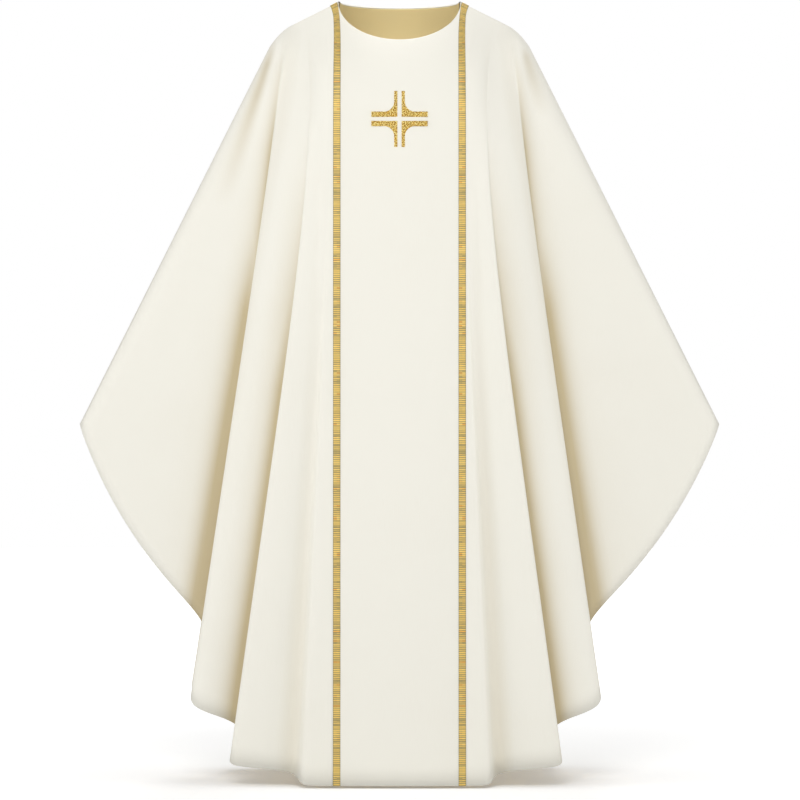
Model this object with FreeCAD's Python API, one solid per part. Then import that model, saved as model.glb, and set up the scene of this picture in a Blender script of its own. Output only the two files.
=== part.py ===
"""Ample gothic chasuble, draped as it hangs on a wearer's shoulders with the arms a little out.

Frame, in millimetres: the origin is midway between the two neck points, on the line where the
shoulders carry the garment. +X is the wearer's left, +Y the wearer's back, +Z up.

The cloth is one drape, described as ribs: lines that run from the neckline, the shoulder seam or the
arm line down to the hem. The ribs are the poles of cubic B-spline sheets, and neighbouring panels
share a rib, so their seams meet face to face.
"""
import FreeCAD, Part
import math
import os

Vector = FreeCAD.Vector

# ---- driving dimensions of the garment ----
length = 1296.0            # neck point down to the hem at the centre front and back
neck_half = 103.0          # half the width of the neck opening
front_neck_drop = 75.0     # centre front of the neckline below the neck points
back_neck_drop = 3.0       # centre back of the neckline below the neck points
front_neck_depth = 88.0    # centre front of the neckline forward of the neck points
back_neck_depth = 72.0     # centre back of the neckline behind the neck points
shoulder_half = 218.0      # half the width over the shoulder corners
shoulder_drop = 75.0       # shoulder corners below the neck points
shoulder_slope = 0.50      # fall of the shoulder seam for each millimetre outwards
wing_reach = 537.0         # wing tip from the centre line
wing_drop = 709.0          # wing tip below the neck points
column_half = 102.0        # centre line to the galloon seams, at the hem
wing_hem_bow = 24.0        # how far the wing's hem bows out of a straight line

# ---- body space: how far the cloth stands forward and back of the shoulder line ----
chest_depth = 125.0
chest_crown = 3.0          # the centre of the chest in front of its galloon seams
blade_depth = 112.0
front_hem_depth = 188.0
back_hem_depth = 182.0
wing_depth = 50.0          # half the thickness of the wing where it joins the body
arm_radius = 42.0          # the cloth's roll over the upper arm
tip_radius = 10.0          # and at the wing tip
front_fall = 150.0         # height over which the front turns from the seam to the chest
back_fall = 165.0
neck_fall = 110.0          # the same, from the neckline at the centre
arm_opening = 14.0         # half the thickness of the wing beside its tip

# ---- cloth, lining and trims ----
cloth = 1.2                # shell cloth
lining = 0.5               # lining satin
lining_short = 9.0         # how far the lining's hem stays above the shell's
ease = 1.2                 # gap between shell and lining
galloon_width = 12.0
galloon_thickness = 0.9
galloon_flare = 7.5        # how far the galloon stands off the seam at the shoulder, clear of the neck
galloon_flare_fall = 26.0  # height over which it comes back to the seam
seat = 0.20                # clearance between the cloth and what is sewn on it
binding_width = 3.0        # neck binding, measured away from the cloth's edge
binding_side = 0.35        # how far it stands proud of the cloth and of the lining
tape_width = 8.0           # stay tape inside the shoulder seam
tape_thickness = 0.4

# ---- embroidered cross of four quarters ----
cross_size = 92.5
cross_gap = 6.8            # ground cloth left between the quarters
cross_bar = 8.6            # height of the level arms
cross_post = 5.4           # width of the upright arms
cross_flare = 20.0         # where the hollow curve between the arms ends, from the quarter's corner
cross_drop = 208.0         # cross centre below the neck points
cross_thickness = 1.1
backing_margin = 10.0      # stiffening felt behind the cross, past its outline
backing_thickness = 0.4

rows = 15                  # poles down each rib
row_crowding = 2.0         # over 1, the rows crowd towards the shoulder, where the cloth turns most
galloon_stretches = 12     # faces down each galloon
line_settling = 7          # how fast a rib comes onto its straight line below the shoulder

# Each rib of a side panel, from the galloon seam outwards. The numbers are shares: of the shoulder
# seam (top), of the way from the neck edge to the wing tip (line and hem), of the hem's rise from its
# lowest level to the wing tip (rise). Forward is in millimetres at the hem, in front of the smooth
# body contour, and starts to grow at the share of the rib's length given by start, by the power grow.
RIBS = [
    # name            top    line    hem    rise   forward start  grow
    ("seam",          0.000, 0.000, -0.002, 0.000,   0.0, 0.00, 1.0),
    ("column",        0.085, 0.000,  0.058, 0.000,   0.5, 0.30, 1.0),
    ("column_side",   0.145, -0.005, 0.100, 0.001,   1.0, 0.30, 1.0),
    ("column_edge",   0.190, -0.010, 0.126, 0.004,  -1.0, 0.30, 1.0),
    ("column_turn",   0.225, -0.012, 0.138, 0.011, -10.0, 0.30, 1.0),
    ("valley_side",   0.260, -0.010, 0.147, 0.021, -25.0, 0.30, 1.0),
    ("valley",        0.300, -0.006, 0.171, 0.031, -34.0, 0.30, 1.0),
    ("inner_rise",    0.345, -0.003, 0.219, 0.038, -17.0, 0.20, 1.0),
    ("inner_crest",   0.390, 0.000,  0.283, 0.043,  12.0, 0.12, 1.0),
    ("inner_side",    0.430, 0.001,  0.348, 0.047,  43.0, 0.12, 1.0),
    ("inner_edge",    0.465, 0.002,  0.398, 0.052,  68.0, 0.12, 1.0),
    ("inner_turn",    0.490, 0.005,  0.408, 0.066,  58.0, 0.12, 1.0),
    ("inner_back",    0.510, 0.008,  0.386, 0.092,  34.0, 0.12, 1.0),
    ("inner_tuck",    0.530, 0.013,  0.358, 0.122,   6.0, 0.12, 1.0),
    ("outer_start",   0.550, 0.026,  0.367, 0.151,   4.0, 0.06, 0.8),
    ("outer_rise",    0.575, 0.070,  0.420, 0.173,  28.0, 0.00, 0.7),
    ("outer_crest",   0.605, 0.116,  0.480, 0.187,  51.0, 0.00, 0.6),
    ("outer_side",    0.640, 0.150,  0.531, 0.202,  54.0, 0.00, 0.6),
    ("outer_edge",    0.675, 0.173,  0.558, 0.218,  46.0, 0.00, 0.6),
    ("outer_turn",    0.700, 0.180,  0.560, 0.245,  33.0, 0.00, 0.6),
    ("outer_back",    0.730, 0.185,  0.537, 0.286,  18.0, 0.00, 0.6),
    ("outer_tuck",    0.765, 0.192,  0.505, 0.337,   6.0, 0.00, 0.6),
    ("wing_start",    0.815, 0.203,  0.496, 0.398,   0.0, 0.00, 1.0),
    ("wing_inner",    0.870, 0.221,  0.525, 0.456,   0.0, 0.00, 1.0),
]
# The rest of the wing lies between its inner rib and the arm line, at these shares of the way.
WING_SHARES = [0.20, 0.42, 0.62, 0.78, 0.90, 0.965, 1.0]
# Ribs of a centre panel, as shares of the way from the centre line to the galloon seam.
CENTRE_SHARES = [0.0, 0.22, 0.42, 0.60, 0.76, 0.88, 0.96, 1.0]
# No two quarters of a hand-hung garment fold alike: shift of the fold lines, and size of the folds.
HANG = {
    ("front", -1): (0.0, 1.00),
    ("front", 1): (-12.0, 0.97),
    ("back", -1): (9.0, 0.92),
    ("back", 1): (-5.0, 1.04),
}


def smooth(x, low, high):
    """0 below low, 1 above high, and an even S between them."""
    t = min(1.0, max(0.0, (x - low) / (high - low)))
    return t * t * (3 - 2 * t)


def mix(a, b, share):
    return a + (b - a) * share


def seam_height(x):
    """Height of the shoulder seam at x, which falls evenly and then rolls over the shoulder corner."""
    roll_from = mix(neck_half, shoulder_half, 0.7)
    roll = shoulder_drop - shoulder_slope * (shoulder_half - neck_half)
    over = max(0.0, (x - roll_from) / (shoulder_half - roll_from))
    return -shoulder_slope * (x - neck_half) - roll * over ** 2


def seam_line():
    """The shoulder seam and the arm line from the front, as short runs from the neck to the tip."""
    steps = 24
    points = [(x, seam_height(x)) for x in
              (mix(neck_half, shoulder_half, i / steps) for i in range(steps + 1))]
    return points + [(wing_reach, -wing_drop)]


SEAM_LINE = seam_line()


def below_seam(x, z):
    """How far a point seen from the front lies from the shoulder seam and arm line."""
    best = None
    for (ax, az), (bx, bz) in zip(SEAM_LINE, SEAM_LINE[1:]):
        ux, uz = bx - ax, bz - az
        share = min(1.0, max(0.0, ((x - ax) * ux + (z - az) * uz) / (ux * ux + uz * uz)))
        gap = math.hypot(x - ax - share * ux, z - az - share * uz)
        best = gap if best is None else min(best, gap)
    return best


def turn(share, power):
    """The cloth's turn from the seam's ridge to its full depth: a parabola at power 1, and a quarter
    circle at power 0.5."""
    share = min(1.0, max(0.0, share))
    return (1 - (1 - share) ** 2) ** power


def row_shares():
    return [(j / (rows - 1)) ** row_crowding for j in range(rows)]


def body_depth(face, x, t):
    """Depth of the smooth body contour at x, a share t of the way down."""
    top, hem = (chest_depth, front_hem_depth) if face == "front" else (blade_depth, back_hem_depth)
    column = mix(top, hem, t)
    inner = mix(neck_half + 4, column_half + 0.146 * (wing_reach - neck_half), t)
    outer = mix(shoulder_half - 6, neck_half + 0.53 * (wing_reach - neck_half), t)
    return mix(column, wing_depth, smooth(x, inner, outer))


def side_rib(face, side, rib):
    """The poles of one rib of a side panel, on the wearer's left (side 1) or right (side -1)."""
    name, top, line, hem, rise, forward, start, grow = rib
    shift, size = HANG[face, side]
    span = wing_reach - neck_half
    shift *= smooth(top, 0.02, 0.2)
    x_top = mix(neck_half, shoulder_half, top)
    x_line = neck_half + line * span + shift * 0.5
    x_hem = neck_half + hem * span + shift
    z_top = seam_height(x_top)
    z_hem = -mix(length, wing_drop, rise)
    on_arm = smooth(top, 0.55, 0.87)
    fall = front_fall if face == "front" else back_fall
    crest = 1.0 if face == "front" else 0.7
    poles = []
    for t in row_shares():
        x = mix(x_line, x_hem, t) + (x_top - x_line) * (1 - t) ** line_settling
        z = mix(z_top, z_hem, t)
        grown = max(0.0, (t - start) / (1 - start)) ** grow if t > start else 0.0
        depth = body_depth(face, x, t) + forward * size * grown
        radius = mix(fall, arm_radius, on_arm)
        y = depth * turn(below_seam(x, z) / radius, mix(crest, 0.5, on_arm)) if t else 0
        poles.append(Vector(side * x, -y if face == "front" else y, z))
    return poles


def arm_rib(side):
    """The arm line, where the wing's front and back meet."""
    a, b = (shoulder_half, -shoulder_drop), (wing_reach, -wing_drop)
    return [Vector(side * mix(a[0], b[0], t), 0, mix(a[1], b[1], t)) for t in row_shares()]


def wing_ribs(face, side, inner):
    """The ribs from the wing's inner rib to the arm line."""
    arm = arm_rib(side)
    out_of_hem = Vector(side * (wing_drop - length) * -1, 0, -(wing_reach - neck_half)).normalize()
    made = []
    for share in WING_SHARES:
        rib = []
        for j, t in enumerate(row_shares()):
            p = inner[j] + (arm[j] - inner[j]) * share
            p += out_of_hem * (wing_hem_bow * 4 * share * (1 - share) * t ** 3)
            radius = mix(arm_radius, tip_radius, t)
            depth = mix(wing_depth, mix(arm_radius, arm_opening, t), share)
            y = depth * turn(below_seam(abs(p.x), p.z) / radius, 0.5)
            if j == 0:
                p.z, y = seam_height(abs(p.x)), 0
            rib.append(Vector(p.x, -y if face == "front" else y, p.z))
        made.append(rib)
    made[-1] = arm
    return made


def neck_point(face, share):
    """A point of the neckline, from the centre (share 0) to the neck point (1 or -1)."""
    drop, depth = ((front_neck_drop, front_neck_depth) if face == "front"
                   else (back_neck_drop, back_neck_depth))
    angle = share * math.pi / 2
    y = depth * math.cos(angle)
    return Vector(neck_half * math.sin(angle), -y if face == "front" else y, -drop * math.cos(angle))


def centre_rib(face, share):
    """The poles of one rib of a centre panel; share runs from -1 to 1 across it."""
    start = neck_point(face, share)
    across = abs(share)
    sign = -1 if face == "front" else 1
    plumb = math.hypot(1, shoulder_slope)  # a plumb drop from the seam over the distance square to it
    fall = mix(neck_fall, plumb * (front_fall if face == "front" else back_fall), across ** 2)
    power = mix(1.0, 1.0 if face == "front" else 0.7, across ** 2)
    neck_depth = abs(start.y)
    poles = []
    for t in row_shares():
        z = mix(start.z, -length, t)
        settled = (1 - t) ** (2 * line_settling)
        x = mix(share * mix(neck_half, column_half, t), start.x, settled)
        depth = body_depth(face, neck_half, t) + chest_crown * (1 - share ** 2)
        y = mix(neck_depth, depth, turn((start.z - z) / fall, power))
        poles.append(Vector(x, sign * y, z))
    return poles


def drape(face):
    """All ribs of the front or back, from the wearer's right arm line to the left one, with the
    numbers of the ribs at the two galloon seams."""
    sides = {}
    for side in (-1, 1):
        ribs = [side_rib(face, side, rib) for rib in RIBS]
        sides[side] = ribs + wing_ribs(face, side, ribs[-1])
    centre = [centre_rib(face, share) for share in
              [-s for s in reversed(CENTRE_SHARES)] + CENTRE_SHARES[1:]]
    centre[0], centre[-1] = sides[-1][0], sides[1][0]
    right = list(reversed(sides[-1]))
    ribs = right + centre[1:] + sides[1][1:]
    return ribs, len(right) - 1, len(right) - 1 + len(centre) - 1


def seam_normal(ribs, i, j):
    """Straight up off the shoulder seam or arm line, square to it, so front and back panels match."""
    side = 1 if i > len(ribs) // 2 else -1
    last = len(ribs) - 1 if side > 0 else 0
    x = abs(ribs[i][j].x)
    if i == last and j > 0:
        run = Vector(side * (wing_reach - shoulder_half), 0, shoulder_drop - wing_drop)
    else:
        step = 1.0
        run = Vector(side * 2 * step, 0, seam_height(min(x + step, shoulder_half))
                     - seam_height(max(x - step, neck_half)))
    return Vector(-run.z * side, 0, run.x * side).normalize()


def outward(face, ribs, seams):
    """The outward normal at each pole of a drape."""
    last_rib, last_row = len(ribs) - 1, rows - 1
    grid = []
    for i in range(last_rib + 1):
        column = []
        for j in range(rows):
            on_shoulder = j == 0 and not seams[0] < i < seams[1]
            if on_shoulder or i in (0, last_rib):
                column.append(seam_normal(ribs, i, j))
                continue
            across = ribs[min(i + 1, last_rib)][j] - ribs[max(i - 1, 0)][j]
            down = ribs[i][min(j + 1, last_row)] - ribs[i][max(j - 1, 0)]
            normal = down.cross(across)
            normal = normal if face == "front" else normal * -1
            column.append(normal.normalize())
        grid.append(column)
    return grid


def knots(count):
    """Knots and multiplicities of a clamped cubic with this many poles."""
    values = list(range(count - 2))
    mults = [4] + [1] * (len(values) - 2) + [4]
    return values, mults


def sheet_surface(poles):
    """A cubic B-spline sheet on a grid of poles."""
    surface = Part.BSplineSurface()
    across, mults_across = knots(len(poles))
    down, mults_down = knots(len(poles[0]))
    surface.buildFromPolesMultsKnots(poles, mults_across, mults_down, across, down,
                                     False, False, 3, 3)
    return surface


def through_surface(points):
    """A B-spline sheet that passes through a grid of points."""
    surface = Part.BSplineSurface()
    surface.interpolate(points)
    return surface


def stretch_of(sheet, k, stretches):
    """The k-th of the equal stretches of a sheet, counted along v."""
    part = sheet.copy()
    u0, u1, v0, v1 = sheet.bounds()
    part.segment(u0, u1, mix(v0, v1, k / stretches), mix(v0, v1, (k + 1) / stretches))
    return part


def solid_between(outer, inner, stretches=1):
    """The closed solid between two sheets that run over the same grid. A long one is cut across into
    stretches, so that no face has too many spans to be measured exactly."""
    edges, faces = [], []
    for k in range(stretches):
        top, under = (stretch_of(sheet, k, stretches) for sheet in (outer, inner))
        faces += [top.toShape(), under.toShape()]
        for end in (0, 1):
            edges.append((top.uIso(top.bounds()[end]), under.uIso(under.bounds()[end])))
        if k == 0:
            edges.append((top.vIso(top.bounds()[2]), under.vIso(under.bounds()[2])))
    edges.append((top.vIso(top.bounds()[3]), under.vIso(under.bounds()[3])))
    faces += [Part.makeRuledSurface(a.toShape(), b.toShape()) for a, b in edges]
    shell = Part.makeShell(faces)
    shell.sewShape()
    solid = Part.Solid(Part.Shell(shell.Faces))
    if solid.Volume < 0:
        solid.reverse()
    return solid


class Drape:
    """One half of the garment: its ribs, their normals, and the sheets cut from them."""

    def __init__(self, face):
        self.face = face
        self.ribs, first, second = drape(face)
        self.normals = outward(face, self.ribs, (first, second))
        last = len(self.ribs) - 1
        self.spans = {"right": (0, first), "centre": (first, second), "left": (second, last)}

    def poles(self, panel, height):
        """Poles of one panel's sheet, raised by height off the shell's outer surface."""
        first, last = self.spans[panel]
        return [[p + n * height for p, n in zip(self.ribs[i], self.normals[i])]
                for i in range(first, last + 1)]

    def layer(self, panel, top, bottom, short=0.0):
        """A panel's solid between two heights, both measured from the shell's outer surface. Its hem
        stays short of the shell's by the last measure."""
        sheets = [sheet_surface(self.poles(panel, height)) for height in (top, bottom)]
        shares = row_shares()
        # a clamped cubic runs three times its last pole spacing per unit of parameter at its end
        rows_short = short / length / (3 * (shares[-1] - shares[-2]))
        for sheet in sheets:
            u0, u1, v0, v1 = sheet.bounds()
            sheet.segment(u0, u1, v0, v1 - rows_short)
        return solid_between(*sheets)

    def surface(self, panel):
        return sheet_surface(self.poles(panel, 0.0))


def on_cloth(surface, point, face, start=None):
    """The point of a sheet nearest to a given one, and the outward normal there. The search steps
    along the sheet from start, a pair of its parameters."""
    u0, u1, v0, v1 = surface.bounds()
    u, v = start or ((u0 + u1) / 2, (v0 + v1) / 2)
    for _ in range(30):
        miss = point - surface.value(u, v)
        along_u, along_v = surface.getDN(u, v, 1, 0), surface.getDN(u, v, 0, 1)
        a, b, c = along_u.dot(along_u), along_u.dot(along_v), along_v.dot(along_v)
        p, q = miss.dot(along_u), miss.dot(along_v)
        det = max(a * c - b * b, 1e-9)
        u = min(u1, max(u0, u + (p * c - q * b) / det))
        v = min(v1, max(v0, v + (q * a - p * b) / det))
    normal = surface.normal(u, v)
    toward = -1 if face == "front" else 1
    if normal.y * toward < 0 or (abs(normal.y) < 0.05 and normal.z < 0):
        normal = normal * -1
    return surface.value(u, v), normal


def strip_solid(lines, low, high, stretches=1):
    """A sewn-on strip: lines is a grid of (point on the cloth, normal)."""
    return solid_between(through_surface([[p + n * high for p, n in line] for line in lines]),
                         through_surface([[p + n * low for p, n in line] for line in lines]),
                         stretches)


def galloon(half, side):
    """One galloon, from the shoulder seam to the hem, over the seam beside the centre panel."""
    stations, lanes = 60, 7
    outer_sheet = half.surface("left" if side > 0 else "right")
    inner_sheet = half.surface("centre")
    outer_u, inner_u = outer_sheet.bounds()[side < 0], inner_sheet.bounds()[side > 0]
    v0, v1 = outer_sheet.bounds()[2:]
    lines = [[] for _ in range(lanes)]
    for k in range(stations):
        v = mix(v0, v1, (k / (stations - 1)) ** 1.3)
        on_seam = outer_sheet.value(outer_u, v)
        fallen = -on_seam.z
        flare = galloon_flare * math.exp(-fallen / galloon_flare_fall)
        for lane in range(lanes):
            offset = flare + galloon_width * (lane / (lanes - 1) - 0.5)
            if k == 0:
                x = side * (abs(on_seam.x) + offset)
                spot = Vector(x, 0, seam_height(abs(x)))
                slope = Vector(side * shoulder_slope, 0, 1).normalize()
                lines[lane].append((spot, slope))
                continue
            aim = on_seam + Vector(side * offset, 0, -shoulder_slope * offset
                                   * max(0.0, 1 - fallen / galloon_flare_fall))
            sheet, u = (outer_sheet, outer_u) if offset >= 0 else (inner_sheet, inner_u)
            lines[lane].append(on_cloth(sheet, aim, half.face, (u, v)))
    if (side > 0) != (half.face == "front"):
        lines.reverse()
    return strip_solid(lines, seat, seat + galloon_thickness, galloon_stretches)


def binding(half):
    """The binding that closes the edges of shell and lining along one half of the neckline."""
    sheet = half.surface("centre")
    inside = cloth + ease + lining + binding_side
    u0, u1, v0, _ = sheet.bounds()
    stations, first = 29, 1
    lines = []
    for depth_share in (0.0, 0.5, 1.0):
        line = []
        for k in range(stations):
            u = mix(u0, u1, k / (stations - 1))
            edge = sheet.value(u, v0)
            outwards = (edge - sheet.value(u, v0 + 0.02)).normalize()
            at_seam = k in (0, stations - first)
            if at_seam:
                outwards = Vector(math.copysign(1.0, -edge.x), 0, 0.2).normalize()
            along = sheet.value(min(u + 0.01, u1), v0) - sheet.value(max(u - 0.01, u0), v0)
            if at_seam:
                along = Vector(0, 1, 0)
            normal = along.cross(outwards).normalize()
            normal = normal * math.copysign(1.0, normal.z if abs(normal.z) > 0.2 else -edge.y)
            base = edge + outwards * (seat + (binding_width - seat) * depth_share)
            line.append((base, normal))
        lines.append(line)
    return strip_solid(lines, -inside, binding_side)


def quarter_outline(right, up):
    """One quarter of the cross, as a face in the XZ plane: two arms that meet in a hollow curve."""
    reach, gap = cross_size / 2, cross_gap / 2
    corner = Vector(gap, 0, gap)
    bar_end = [Vector(reach, 0, gap), Vector(reach, 0, gap + cross_bar)]
    post_end = [Vector(gap + cross_post, 0, reach), Vector(gap, 0, reach)]
    bar_start = Vector(gap + cross_post + cross_flare, 0, gap + cross_bar)
    post_start = Vector(gap + cross_post, 0, gap + cross_bar + cross_flare * 0.8)
    bend = Vector(gap + cross_post + 0.26 * cross_flare, 0, gap + cross_bar + 0.22 * cross_flare)
    edges = [Part.LineSegment(corner, bar_end[0]), Part.LineSegment(bar_end[0], bar_end[1]),
             Part.LineSegment(bar_end[1], bar_start), Part.Arc(bar_start, bend, post_start),
             Part.LineSegment(post_start, post_end[0]), Part.LineSegment(post_end[0], post_end[1]),
             Part.LineSegment(post_end[1], corner)]
    face = Part.Face(Part.Wire([e.toShape() for e in edges]))
    turned = FreeCAD.Matrix()
    turned.scale(Vector(right, 1, up))
    face = face.transformGeometry(turned)
    face.translate(Vector(0, 0, -cross_drop))
    return face


def chest_patch(half, reach, low, high):
    """A slab that follows the chest around the cross, between two heights."""
    sheet = half.surface("centre")
    steps = 7
    lines = []
    for i in range(steps):
        line = []
        for j in range(steps):
            aim = Vector(mix(-reach, reach, i / (steps - 1)), -chest_depth,
                         mix(reach, -reach, j / (steps - 1)) - cross_drop)
            line.append(on_cloth(sheet, aim, half.face))
        lines.append(line)
    return strip_solid(lines, low, high)


def cross_quarter(half, right, up):
    patch = chest_patch(half, cross_size * 0.62, seat, seat + cross_thickness)
    face = quarter_outline(right, up)
    depth = chest_depth * 2
    face.translate(Vector(0, -depth, 0))
    return face.extrude(Vector(0, depth, 0)).common(patch).Solids[0]


def cross_backing(half):
    low = -(cloth + ease / 2 + backing_thickness / 2)
    patch = chest_patch(half, cross_size * 0.62 + backing_margin, low, low + backing_thickness)
    disc = Part.makeCylinder(cross_size / 2 + backing_margin, chest_depth * 2,
                             Vector(0, -chest_depth * 2, -cross_drop), Vector(0, 1, 0))
    return disc.common(patch).Solids[0]


def shoulder_tape(front, back, side):
    """Stay tape over the shoulder seam, between shell and lining, from the neck to the corner."""
    stations = 13
    middle = -(cloth + seat + tape_thickness / 2)
    sheets = {1: back.surface("left" if side > 0 else "right"),
              -1: front.surface("left" if side > 0 else "right")}
    lines = []
    for k in range(stations):
        share = mix(0.04, 0.90, k / (stations - 1))
        x = mix(neck_half, shoulder_half, share)
        spot = Vector(side * x, 0, seam_height(x))
        slope = (seam_height(x + 1) - seam_height(x - 1)) / 2
        line = []
        for toward in (-1, -0.5, 0, 0.5, 1):
            if toward == 0:
                line.append((spot, Vector(-side * slope, 0, 1).normalize()))
                continue
            aim = spot + Vector(0, toward * tape_width / 2, -2)
            sheet = sheets[1 if toward > 0 else -1]
            u0, u1, v0, _ = sheet.bounds()
            start = (mix(u0, u1, share * 0.5) if side > 0 else mix(u1, u0, share * 0.5), v0 + 0.1)
            line.append(on_cloth(sheet, aim, "back" if toward > 0 else "front", start))
        lines.append(line)
    return strip_solid(lines, middle - tape_thickness / 2, middle + tape_thickness / 2)


def build():
    front, back = Drape("front"), Drape("back")
    nodes = {}
    for half in (front, back):
        for panel in ("left", "centre", "right"):
            nodes[f"{half.face}_{panel}_panel"] = half.layer(panel, 0.0, -cloth)
            top = -(cloth + ease)
            nodes[f"{half.face}_{panel}_lining"] = half.layer(panel, top, top - lining, lining_short)
        for side, word in ((1, "left"), (-1, "right")):
            nodes[f"{half.face}_{word}_galloon"] = galloon(half, side)
        nodes[f"{half.face}_neck_binding"] = binding(half)
    for up, level in ((1, "upper"), (-1, "lower")):
        for right, word in ((1, "left"), (-1, "right")):
            nodes[f"cross_{level}_{word}"] = cross_quarter(front, right, up)
    nodes["cross_backing"] = cross_backing(front)
    for side, word in ((1, "left"), (-1, "right")):
        nodes[f"{word}_shoulder_tape"] = shoulder_tape(front, back, side)
    return nodes


def main():
    os.makedirs("parts", exist_ok=True)
    for name, solid in build().items():
        state = "" if solid.isValid() and solid.isClosed() else "  NOT A VALID CLOSED SOLID"
        print(f"{name:22s} {solid.Volume / 1000:9.2f} cm3 {len(solid.Faces):3d} faces{state}")
        solid.exportStep(f"parts/{name}.step")


main()
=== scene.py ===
# %% [markdown]
# # A chasuble, hung as it falls from the shoulders
# A chasuble is a wide sleeveless vestment: a centre column of cloth between two gold braids, and
# on each side a great wing that falls over the arm. The CAD frame gives its true size and the
# place of every piece, and this lesson makes the cloth, the braid and the embroidery that are
# seen. We load the frame first and keep its box, because the cloth has to stay inside it.

# %% Load the frame
import math
import random

import bmesh
import bpy
import numpy as np
from mathutils import Matrix, Vector


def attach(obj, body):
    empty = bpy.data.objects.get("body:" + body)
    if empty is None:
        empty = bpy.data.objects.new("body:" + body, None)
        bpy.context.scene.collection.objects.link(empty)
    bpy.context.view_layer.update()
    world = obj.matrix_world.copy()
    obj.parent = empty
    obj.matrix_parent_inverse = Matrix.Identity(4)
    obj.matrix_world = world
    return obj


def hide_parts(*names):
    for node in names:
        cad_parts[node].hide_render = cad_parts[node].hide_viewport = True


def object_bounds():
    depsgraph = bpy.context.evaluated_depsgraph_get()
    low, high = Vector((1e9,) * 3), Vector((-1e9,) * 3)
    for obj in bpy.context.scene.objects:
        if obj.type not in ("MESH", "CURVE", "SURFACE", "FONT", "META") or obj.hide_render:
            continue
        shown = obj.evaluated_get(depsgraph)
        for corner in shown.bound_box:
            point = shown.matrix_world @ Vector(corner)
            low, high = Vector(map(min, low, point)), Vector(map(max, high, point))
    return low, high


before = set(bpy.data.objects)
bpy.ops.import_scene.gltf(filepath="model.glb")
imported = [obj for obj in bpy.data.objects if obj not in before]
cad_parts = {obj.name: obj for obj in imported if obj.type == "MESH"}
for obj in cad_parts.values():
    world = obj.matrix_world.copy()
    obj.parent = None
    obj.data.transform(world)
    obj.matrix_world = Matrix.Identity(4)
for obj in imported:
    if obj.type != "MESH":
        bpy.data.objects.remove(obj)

cad_box = [list(corner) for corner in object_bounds()]
print("CAD box", cad_box)

# %% [markdown]
# ## Sizes
# The drape is described by the same few measures as the frame, in metres. X runs to the wearer's
# left, Y to the back and Z up, and the two neck points lie at height zero. Depths say how far the
# cloth stands forward or back of the shoulder line.

# %% Sizes of the garment
length = 1.296
neck_half = 0.103
front_neck_drop, back_neck_drop = 0.075, 0.003
front_neck_depth, back_neck_depth = 0.088, 0.072
shoulder_half, shoulder_drop, shoulder_slope = 0.218, 0.075, 0.50
wing_reach, wing_drop = 0.537, 0.709
column_half = 0.102
wing_hem_bow = 0.024

chest_depth, chest_crown, blade_depth = 0.125, 0.003, 0.112
front_hem_depth, back_hem_depth = 0.188, 0.182
wing_depth, arm_radius, tip_radius, arm_opening = 0.050, 0.042, 0.010, 0.014
front_fall, back_fall, neck_fall = 0.150, 0.165, 0.110

cloth, lining, ease, lining_short = 0.0012, 0.0005, 0.0012, 0.009
galloon_width, galloon_flare, galloon_flare_fall = 0.012, 0.0075, 0.026
seat = 0.0002
cross_size, cross_gap, cross_bar, cross_post = 0.0925, 0.0068, 0.0086, 0.0054
cross_flare, cross_drop = 0.020, 0.208

rows, row_crowding, line_settling = 15, 2.0, 7
print("garment", round(2 * wing_reach, 3), "m wide and", length, "m long")

# %% [markdown]
# ## Ribs of the drape
# Hung cloth makes straight fold lines that fan out from where it is held. So each side is
# described by ribs, lines from the shoulder down to the hem, each with its place along the
# shoulder, along the hem, how far the hem has risen there, and how far the fold stands forward of
# the body. A surface through the ribs then has the folds at the right places, and they grow wider
# as they fall.

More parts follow.
